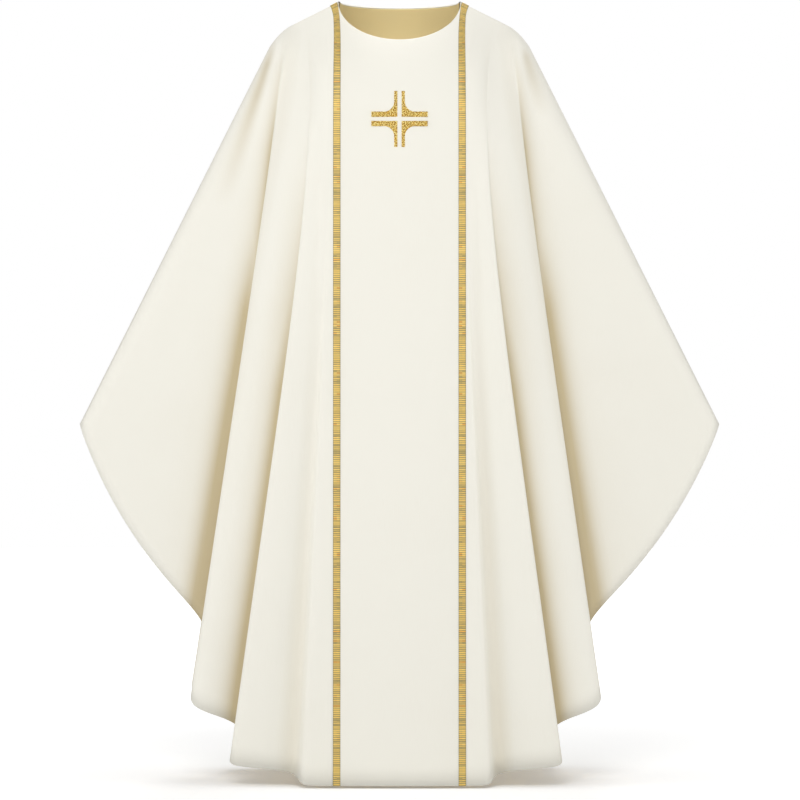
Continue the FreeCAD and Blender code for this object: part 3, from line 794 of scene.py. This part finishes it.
def embroider_quarter(seed):
    """A quarter in the flat: X across, Y up the cross, Z off the cloth."""
    random.seed(seed)
    bm = bmesh.new()
    ring = [bm.verts.new((x, z, seat)) for x, z in quarter_outline()]
    border = [bm.edges.new(pair) for pair in zip(ring, ring[1:] + ring[:1])]
    under = bmesh.ops.contextual_create(bm, geom=border)["faces"]
    bmesh.ops.recalc_face_normals(bm, faces=under)
    lifted = bmesh.ops.extrude_face_region(bm, geom=under)["geom"]
    tops = [g for g in lifted if isinstance(g, bmesh.types.BMVert)]
    bmesh.ops.translate(bm, verts=tops, vec=(0, 0, 0.00055))
    bmesh.ops.recalc_face_normals(bm, faces=bm.faces)
    row_pitch = 0.00050
    for row in range(int((reach - gap) / row_pitch)):
        stitch_row(bm, row, gap + 0.00028 + row * row_pitch)
    return bm


# %% Lay the quarters on the chest
lattice = 17
chest_lines = np.linspace(-reach * 1.05, reach * 1.05, lattice)


def chest_lattice():
    """Places and normals on the chest at the crossings of a lattice behind the cross."""
    sheet = sheets["front", "centre"]
    x, z = (g.ravel() for g in np.meshgrid(chest_lines, chest_lines, indexing="ij"))
    aims = np.stack([x, np.full(x.shape, -chest_depth), z - cross_drop], axis=1)
    found = slide(sheet, np.full(len(x), sheet.u_end / 2), np.full(len(x), 5.0), aims)
    return [part.reshape(lattice, lattice, 3) for part in found]


chest_places, chest_normals = chest_lattice()


def on_chest(points):
    """Places and normals on the chest for points given across and up from the cross's centre."""
    steps = (points - chest_lines[0]) / (chest_lines[1] - chest_lines[0])
    cell = np.clip(steps.astype(int), 0, lattice - 2)
    (i, j), (a, b) = cell.T, (steps - cell).T[:, :, None]
    return [(part[i, j] * (1 - a) + part[i + 1, j] * a) * (1 - b)
            + (part[i, j + 1] * (1 - a) + part[i + 1, j + 1] * a) * b
            for part in (chest_places, chest_normals)]


quarters = {}
for up, level in ((1, "upper"), (-1, "lower")):
    for across, word in ((1, "left"), (-1, "right")):
        bm = embroider_quarter(seed=11 + 3 * up + across)
        bm.verts.index_update()
        points = np.array([(v.co.x * across, v.co.y * up) for v in bm.verts])
        places, normals = on_chest(points)
        uv_layer = bm.loops.layers.uv.new("weave")
        for f in bm.faces:
            f.smooth = True
            for loop in f.loops:
                loop[uv_layer].uv = points[loop.vert.index]
        for vert, place, normal in zip(bm.verts, places, normals):
            vert.co = Vector(place) + Vector(normal) * vert.co.z
        if up * across < 0:
            bmesh.ops.reverse_faces(bm, faces=bm.faces)
        name = f"cross_{level}_{word}_stitched"
        mesh = bpy.data.meshes.new(name)
        bm.to_mesh(mesh)
        bm.free()
        piece = bpy.data.objects.new(name, mesh)
        bpy.context.scene.collection.objects.link(piece)
        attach(piece, "root")
        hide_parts(f"cross_{level}_{word}")
        quarters[level, word] = piece
print("cross quarters,", [len(q.data.polygons) for q in quarters.values()], "faces")

# %% [markdown]
# ## The neck binding
# A bias strip of the shell cloth is wrapped round the raw edges of shell and lining at the neck.
# It reads as a thin soft roll. We sweep a flattened ring along the neckline, one sweep for the
# front and one for the back, and the two meet at the shoulder seams.


# %% Roll the binding
def roll_binding(face):
    sheet = sheets[face, "centre"]
    stations, around = 96, 14
    us = np.linspace(0, sheet.u_end, stations + 1)
    edge = sheet.grid(us, [0, 0.04])
    out = edge[:, 0] - edge[:, 1]
    out /= np.linalg.norm(out, axis=1, keepdims=True)
    out[0], out[-1] = (1, 0, 0.25), (-1, 0, 0.25)
    out /= np.linalg.norm(out, axis=1, keepdims=True)
    along = np.gradient(edge[:, 0], axis=0)
    along[0], along[-1] = (0, edge[1, 0, 1], 0), (0, -edge[-2, 0, 1], 0)
    along /= np.linalg.norm(along, axis=1, keepdims=True)
    up = np.cross(along, out)
    up /= np.linalg.norm(up, axis=1, keepdims=True)
    up *= np.where(up[:, 2] < 0, -1, 1)[:, None]
    middle = edge[:, 0] + out * 0.0011 - up * (cloth + ease + lining) / 2
    places = np.zeros((stations + 1, around + 1, 3))
    for k in range(around + 1):
        angle = 2 * math.pi * k / around
        twist = 0.00006 * np.sin(np.arange(stations + 1) * 2.1 + angle)
        places[:, k] = (middle + out * ((0.0017 + twist) * math.cos(angle))[:, None]
                        + up * ((0.00185 + twist) * math.sin(angle))[:, None])
    places[0, :, 1] = places[-1, :, 1] = 0
    piece = lay_grid(f"neck_binding_{face}", places, along_cloth(places))
    bm = bmesh.new()
    bm.from_mesh(piece.data)
    bmesh.ops.remove_doubles(bm, verts=bm.verts, dist=1e-6)
    bmesh.ops.holes_fill(bm, edges=[e for e in bm.edges if e.is_boundary], sides=around + 2)
    bmesh.ops.recalc_face_normals(bm, faces=bm.faces)
    bm.to_mesh(piece.data)
    bm.free()
    return piece


bindings = {}
for face in ("front", "back"):
    piece = roll_binding(face)
    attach(piece, "root")
    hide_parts(f"{face}_neck_binding")
    bindings[face] = piece
print("neck binding in", len(bindings), "halves")

# %% [markdown]
# ## Shared effects for the materials
# Three effects are used by more than one material, so each is a node group. The first is a weave:
# two sets of fine threads, from the UV map in metres, that gives a height for the bump. The second
# is a slub, the slight unevenness of yarn, which changes the colour a little along the threads.
# The third is a slow cloudiness over the whole cloth.


# %% Helpers for nodes
def link(tree, source, target):
    tree.links.new(source, target)


def node(tree, kind, **settings):
    made = tree.nodes.new(kind)
    for key, value in settings.items():
        setattr(made, key, value)
    return made


def math_node(tree, operation, a, b=None):
    made = node(tree, "ShaderNodeMath", operation=operation)
    for socket, value in zip(made.inputs, (a, b)):
        if isinstance(value, (int, float)):
            socket.default_value = value
        elif value is not None:
            link(tree, value, socket)
    return made.outputs[0]


def new_group(name, inputs, outputs):
    """A node group with float inputs, given with their defaults, and typed outputs."""
    tree = bpy.data.node_groups.new(name, "ShaderNodeTree")
    for label, (kind, default) in inputs.items():
        socket = tree.interface.new_socket(label, in_out="INPUT", socket_type=kind)
        if default is not None:
            socket.default_value = default
    for label, kind in outputs.items():
        tree.interface.new_socket(label, in_out="OUTPUT", socket_type=kind)
    return tree, tree.nodes.new("NodeGroupInput"), tree.nodes.new("NodeGroupOutput")


# %% The weave, as a height
def weave_group():
    tree, given, out = new_group("weave", {
        "Cloth": ("NodeSocketVector", None),
        "Threads per metre": ("NodeSocketFloat", 1500.0),
        "Slant": ("NodeSocketFloat", 1.0),
    }, {"Height": "NodeSocketFloat", "Slub": "NodeSocketFloat"})
    parts = node(tree, "ShaderNodeSeparateXYZ")
    link(tree, given.outputs["Cloth"], parts.inputs[0])
    turns = math_node(tree, "MULTIPLY", given.outputs["Threads per metre"], 2 * math.pi)
    x = math_node(tree, "MULTIPLY", parts.outputs[0], turns)
    y = math_node(tree, "MULTIPLY", parts.outputs[1], turns)
    warp = math_node(tree, "SINE", math_node(tree, "ADD", x, math_node(
        tree, "MULTIPLY", y, given.outputs["Slant"])))
    weft = math_node(tree, "SINE", math_node(tree, "SUBTRACT", y, math_node(
        tree, "MULTIPLY", x, 0.15)))
    height = math_node(tree, "ADD", math_node(tree, "MULTIPLY", warp, 0.35),
                       math_node(tree, "MULTIPLY", weft, 0.15))
    link(tree, math_node(tree, "ADD", height, 0.5), out.inputs["Height"])
    stretch = node(tree, "ShaderNodeMapping")
    stretch.inputs["Scale"].default_value = (900, 35, 1)
    link(tree, given.outputs["Cloth"], stretch.inputs["Vector"])
    noise = node(tree, "ShaderNodeTexNoise")
    noise.inputs["Scale"].default_value = 1.0
    noise.inputs["Detail"].default_value = 3.0
    link(tree, stretch.outputs[0], noise.inputs["Vector"])
    link(tree, noise.outputs["Fac"], out.inputs["Slub"])
    return tree


weave = weave_group()
print("group", weave.name, [s.name for s in weave.interface.items_tree])


# %% Slow clouds over the cloth, from object coordinates
def cloud_group():
    tree, given, out = new_group("clouds", {"Scale": ("NodeSocketFloat", 6.0)},
                                 {"Cloud": "NodeSocketFloat"})
    place = node(tree, "ShaderNodeTexCoord")
    noise = node(tree, "ShaderNodeTexNoise")
    noise.inputs["Detail"].default_value = 4.0
    link(tree, place.outputs["Object"], noise.inputs["Vector"])
    link(tree, given.outputs["Scale"], noise.inputs["Scale"])
    link(tree, noise.outputs["Fac"], out.inputs["Cloud"])
    return tree


clouds = cloud_group()


# %% [markdown]
# ## Cloth materials
# The shell is a soft matt ivory cloth with a fine twill, the lining a smoother satin in
# gold-beige. Both use the weave group with their own thread count. Under and beside its folds the
# ivory is coloured darker and warmer, painted shade, by the fold depth that we wrote on the mesh.

# %% A cloth material
def cloth_material(name, light, painted_shade_and_tone, roughness, threads, bump, sheen, slant=1.0, painted_shade_share=1.0,
                   uneven_share=0.10, drift_share=0.12):
    made = bpy.data.materials.new(name)
    made.use_nodes = True
    tree = made.node_tree
    shader = tree.nodes["Principled BSDF"]
    shader.inputs["Roughness"].default_value = roughness
    shader.inputs["Sheen Weight"].default_value = sheen
    shader.inputs["Sheen Roughness"].default_value = 0.5
    shader.inputs["Specular IOR Level"].default_value = 0.25
    uv = node(tree, "ShaderNodeUVMap", uv_map="weave")
    threads_node = node(tree, "ShaderNodeGroup", node_tree=weave)
    threads_node.inputs["Threads per metre"].default_value = threads
    threads_node.inputs["Slant"].default_value = slant
    link(tree, uv.outputs[0], threads_node.inputs["Cloth"])
    slow = node(tree, "ShaderNodeGroup", node_tree=clouds)
    slow.inputs["Scale"].default_value = 5.0
    # The fold attribute paints shade: the deeper a place lies in a fold, the more its colour goes
    # towards the second colour.
    fold = node(tree, "ShaderNodeAttribute", attribute_name="fold")
    deep = math_node(tree, "MULTIPLY", fold.outputs["Fac"], painted_shade_share)
    uneven = math_node(tree, "MULTIPLY", math_node(
        tree, "SUBTRACT", threads_node.outputs["Slub"], 0.5), uneven_share)
    drift = math_node(tree, "MULTIPLY", math_node(
        tree, "SUBTRACT", slow.outputs["Cloud"], 0.5), drift_share)
    amount = math_node(tree, "ADD", deep, math_node(tree, "ADD", uneven, drift))
    tint = node(tree, "ShaderNodeMix", data_type="RGBA")
    tint.clamp_factor = True
    tint.inputs["A"].default_value = (*light, 1)
    tint.inputs["B"].default_value = (*painted_shade_and_tone, 1)
    link(tree, amount, tint.inputs["Factor"])
    link(tree, tint.outputs["Result"], shader.inputs["Base Color"])
    relief = node(tree, "ShaderNodeBump")
    relief.inputs["Strength"].default_value = 1.0
    relief.inputs["Distance"].default_value = bump
    link(tree, threads_node.outputs["Height"], relief.inputs["Height"])
    link(tree, relief.outputs[0], shader.inputs["Normal"])
    return made


# The ivory's second colour, a darker warm tan, is the painted shade in its folds; slub and clouds
# also move its colour a little towards it.
ivory = cloth_material("ivory_twill", (0.82, 0.80, 0.722), (0.53, 0.445, 0.28), 0.85, 900,
                       0.00005, 0.0)
satin = cloth_material("gold_beige_satin", (0.97, 0.81, 0.43), (0.84, 0.66, 0.28), 0.42, 1600,
                       0.00002, 0.0, slant=0.2, painted_shade_share=0.0)
bias = cloth_material("ivory_bias", (0.90, 0.885, 0.82), (0.82, 0.77, 0.62), 0.8, 1100,
                      0.00005, 0.0, slant=1.0, painted_shade_share=0.0)
for piece in [*shell.values(), *hems.values()]:
    piece.data.materials.append(ivory)
for piece in lining_pieces.values():
    piece.data.materials.append(satin)
for piece in bindings.values():
    piece.data.materials.append(bias)
print("cloth materials:", ivory.name, satin.name, bias.name)


# %% [markdown]
# ## Gold braid and gold thread
# The braid's ribs are wound with metal yarn over a dull core. Some picks show green-grey and some
# orange, and the firm edges are darker. The colours run in bands across the braid, one to each
# rib, so they are made from the distance along it.

# %% The galloon's material
def braid_material():
    made = bpy.data.materials.new("gold_braid")
    made.use_nodes = True
    tree = made.node_tree
    shader = tree.nodes["Principled BSDF"]
    shader.inputs["Roughness"].default_value = 0.5
    uv = node(tree, "ShaderNodeUVMap", uv_map="weave")
    parts = node(tree, "ShaderNodeSeparateXYZ")
    link(tree, uv.outputs[0], parts.inputs[0])
    which_rib = math_node(tree, "FLOOR", math_node(tree, "DIVIDE", parts.outputs[1], galloon_rib))
    cell = node(tree, "ShaderNodeTexWhiteNoise", noise_dimensions="2D")
    pair = node(tree, "ShaderNodeCombineXYZ")
    strand = math_node(tree, "FLOOR", math_node(tree, "DIVIDE", parts.outputs[0], 0.0062))
    link(tree, strand, pair.inputs[0])
    link(tree, which_rib, pair.inputs[1])
    link(tree, pair.outputs[0], cell.inputs["Vector"])
    gold = node(tree, "ShaderNodeValToRGB")
    gold.color_ramp.interpolation = "EASE"
    stops = [(0.10, (0.48, 0.36, 0.12)), (0.30, (0.74, 0.50, 0.14)), (0.55, (0.86, 0.58, 0.14)),
             (0.78, (0.95, 0.66, 0.18)), (0.94, (0.92, 0.46, 0.08))]
    for k, (where, colour) in enumerate(stops):
        stop = gold.color_ramp.elements[k] if k < 2 else gold.color_ramp.elements.new(where)
        stop.position, stop.color = where, (*colour, 1)
    whole_rib = node(tree, "ShaderNodeTexWhiteNoise", noise_dimensions="1D")
    link(tree, which_rib, whole_rib.inputs["W"])
    pick = math_node(tree, "ADD", math_node(tree, "MULTIPLY", whole_rib.outputs["Value"], 0.70),
                     math_node(tree, "MULTIPLY", cell.outputs["Value"], 0.30))
    link(tree, pick, gold.inputs["Fac"])
    phase = math_node(tree, "SINE", math_node(
        tree, "MULTIPLY", parts.outputs[1], math.pi / galloon_rib))
    between = math_node(tree, "SUBTRACT", 1.0, math_node(tree, "ABSOLUTE", phase))
    groove = math_node(tree, "MULTIPLY", between, math_node(tree, "ADD", 0.75, math_node(
        tree, "MULTIPLY", cell.outputs["Value"], 0.65)))
    edge = math_node(tree, "MULTIPLY", math_node(tree, "SUBTRACT", math_node(
        tree, "DIVIDE", math_node(tree, "ABSOLUTE", parts.outputs[0]), galloon_width / 2), 0.76), 5.0)
    dark = node(tree, "ShaderNodeMix", data_type="RGBA")
    dark.clamp_factor = True
    dark.inputs["B"].default_value = (0.15, 0.15, 0.07, 1)
    link(tree, gold.outputs["Color"], dark.inputs["A"])
    edge_dark = math_node(tree, "MULTIPLY", math_node(tree, "MAXIMUM", edge, 0.0), 0.45)
    link(tree, math_node(tree, "ADD", math_node(tree, "MULTIPLY", groove, 0.95), edge_dark),
         dark.inputs["Factor"])
    link(tree, dark.outputs["Result"], shader.inputs["Base Color"])
    shine = math_node(tree, "SUBTRACT", 0.30, math_node(tree, "MULTIPLY", groove, 0.25))
    link(tree, shine, shader.inputs["Metallic"])
    yarn = node(tree, "ShaderNodeTexNoise")
    yarn.inputs["Scale"].default_value = 1.0
    stretch = node(tree, "ShaderNodeMapping")
    stretch.inputs["Scale"].default_value = (2600, 700, 1)
    link(tree, uv.outputs[0], stretch.inputs["Vector"])
    link(tree, stretch.outputs[0], yarn.inputs["Vector"])
    relief = node(tree, "ShaderNodeBump")
    relief.inputs["Distance"].default_value = 0.00012
    link(tree, yarn.outputs["Fac"], relief.inputs["Height"])
    link(tree, relief.outputs[0], shader.inputs["Normal"])
    return made


braid = braid_material()
for piece in galloons.values():
    piece.data.materials.append(braid)
print("braid material", braid.name)


# %% The embroidery thread's material
def thread_material():
    made = bpy.data.materials.new("gold_thread")
    made.use_nodes = True
    tree = made.node_tree
    shader = tree.nodes["Principled BSDF"]
    shader.inputs["Metallic"].default_value = 0.45
    shader.inputs["Roughness"].default_value = 0.34
    uv = node(tree, "ShaderNodeUVMap", uv_map="weave")
    # The spots give the thread's bump and also paint light into its colour: the brightest stop is a
    # painted highlight, the darkest is painted shade in the pits, and the middle stop is the thread's
    # own gold.
    relief_and_painted_glints = node(tree, "ShaderNodeTexNoise")
    relief_and_painted_glints.inputs["Scale"].default_value = 560.0
    relief_and_painted_glints.inputs["Detail"].default_value = 2.0
    link(tree, uv.outputs[0], relief_and_painted_glints.inputs["Vector"])
    gold = node(tree, "ShaderNodeValToRGB")
    stops = [(0.42, (0.36, 0.16, 0.005)), (0.50, (0.86, 0.53, 0.06)), (0.57, (1.0, 0.90, 0.40))]
    for k, (where, colour) in enumerate(stops):
        stop = gold.color_ramp.elements[k] if k < 2 else gold.color_ramp.elements.new(where)
        stop.position, stop.color = where, (*colour, 1)
    link(tree, relief_and_painted_glints.outputs["Fac"], gold.inputs["Fac"])
    link(tree, gold.outputs["Color"], shader.inputs["Base Color"])
    relief = node(tree, "ShaderNodeBump")
    relief.inputs["Distance"].default_value = 0.0012
    link(tree, relief_and_painted_glints.outputs["Fac"], relief.inputs["Height"])
    link(tree, relief.outputs[0], shader.inputs["Normal"])
    return made


thread = thread_material()
for piece in quarters.values():
    piece.data.materials.append(thread)
print("thread material", thread.name)

# %% Felt and tape, which stay inside between shell and lining
for name in ("cross_backing", "left_shoulder_tape", "right_shoulder_tape"):
    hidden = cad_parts[name]
    hidden.data.materials.clear()
    hidden.data.materials.append(bias)

# %% [markdown]
# ## The hems of the shell panels
# The loop below works out 400 places along the hem of every shell panel, and keeps only the last
# panel's.

for (face, word), piece in shell.items():
    edge = sheets[face, word].grid(np.linspace(0, sheets[face, word].u_end, 400),
                                   [sheets[face, word].v_end])[:, 0]

# %% [markdown]
# ## Floor, light and camera
# The vestment hangs just above a pale floor, in the soft even light of a bright room, with one
# large lamp in front and above to model the folds. The room looks white to the camera but gives
# only half the light, because an even light alone would wash the folds out. The floor has a glow
# that only the camera sees, weak near the garment so that its shadow stays. Weak lamps at the
# sides and a stronger one behind keep the edges from going grey, and a narrow one reaches into the
# neck. The camera stands level with the middle of the garment, well back, with a long lens, so
# that shoulders and hem keep their proportions.

# %% The floor
scene = bpy.context.scene
hem_level, floor_gap = cad_box[0][2], 0.004
glow_starts, glow_full = 1.40, 3.0  # metres from the neck, and how strong the glow is at each
glow_near, glow_far = 0.16, 0.62
bm = bmesh.new()
bmesh.ops.create_grid(bm, x_segments=1, y_segments=1, size=9)
floor_mesh = bpy.data.meshes.new("floor")
bm.to_mesh(floor_mesh)
bm.free()
floor_mesh.transform(Matrix.Translation((0, 0, hem_level - floor_gap)))
floor = bpy.data.objects.new("floor", floor_mesh)
scene.collection.objects.link(floor)
pale = bpy.data.materials.new("pale_floor")
pale.use_nodes = True
tree = pale.node_tree
shader = tree.nodes["Principled BSDF"]
shader.inputs["Base Color"].default_value = (0.95, 0.95, 0.95, 1)
shader.inputs["Roughness"].default_value = 0.9
shader.inputs["Emission Color"].default_value = (1, 1, 1, 1)
to_camera = node(tree, "ShaderNodeLightPath").outputs["Is Camera Ray"]
away = node(tree, "ShaderNodeVectorMath", operation="LENGTH")
link(tree, node(tree, "ShaderNodeTexCoord").outputs["Object"], away.inputs[0])
glow = node(tree, "ShaderNodeMapRange")
for label, value in (("From Min", glow_starts), ("From Max", glow_full),
                     ("To Min", glow_near), ("To Max", glow_far)):
    glow.inputs[label].default_value = value
link(tree, away.outputs["Value"], glow.inputs["Value"])
link(tree, math_node(tree, "MULTIPLY", to_camera, glow.outputs["Result"]),
     shader.inputs["Emission Strength"])
floor_mesh.materials.append(pale)
print("floor at", round(hem_level - floor_gap, 4))

# %% The bright room
room_light = 0.52
world = bpy.data.worlds.new("bright_room")
world.use_nodes = True
room = world.node_tree.nodes["Background"]
room.inputs["Color"].default_value = (1, 1, 1, 1)
seen = node(world.node_tree, "ShaderNodeLightPath").outputs["Is Camera Ray"]
link(world.node_tree, math_node(world.node_tree, "ADD", math_node(
    world.node_tree, "MULTIPLY", seen, 1 - room_light), room_light), room.inputs["Strength"])
scene.world = world
print("the room gives", room_light, "of full light")


# %% The lamps
def soft_lamp(name, place, aim, size, energy):
    lamp = bpy.data.lights.new(name, "AREA")
    lamp.shape, lamp.size, lamp.energy = "DISK", size, energy
    holder = bpy.data.objects.new(name, lamp)
    holder.location = place
    holder.rotation_euler = (Vector(aim) - Vector(place)).to_track_quat("-Z", "Y").to_euler()
    scene.collection.objects.link(holder)


soft_lamp("back_lamp", (0.4, 3.4, 1.9), (0, 0, -0.55), 2.0, 50)
soft_lamp("front_lamp", (-0.4, -3.6, 1.7), (0, 0, -0.55), 2.0, 74)
for side, word in ((-1, "right"), (1, "left")):
    soft_lamp(f"{word}_side_lamp", (3.4 * side, -0.9, -0.1), (0.4 * side, 0, -0.6), 1.6, 20)
neck_beam = bpy.data.lights.new("neck_lamp", "SPOT")
neck_beam.energy, neck_beam.shadow_soft_size = 330, 0.12
neck_beam.spot_size, neck_beam.spot_blend = math.radians(4.4), 1.0
neck_lamp = bpy.data.objects.new("neck_lamp", neck_beam)
neck_lamp.location = (0.0, -3.3, 1.85)
inside_neck = Vector((0, 0.07, 0.0))
neck_lamp.rotation_euler = (inside_neck - neck_lamp.location).to_track_quat("-Z", "Y").to_euler()
scene.collection.objects.link(neck_lamp)
print("lamps", [lamp.name for lamp in bpy.data.lights])

# %% The camera
camera_data = bpy.data.cameras.new("camera")
camera_data.sensor_width, camera_data.lens = 36.0, 157.3
camera = bpy.data.objects.new("camera", camera_data)
camera.location = (0.0008, -5.87, -0.6685)
camera.rotation_euler = (math.pi / 2, 0, 0)
scene.collection.objects.link(camera)
scene.camera = camera
scene.view_settings.view_transform = "Standard"
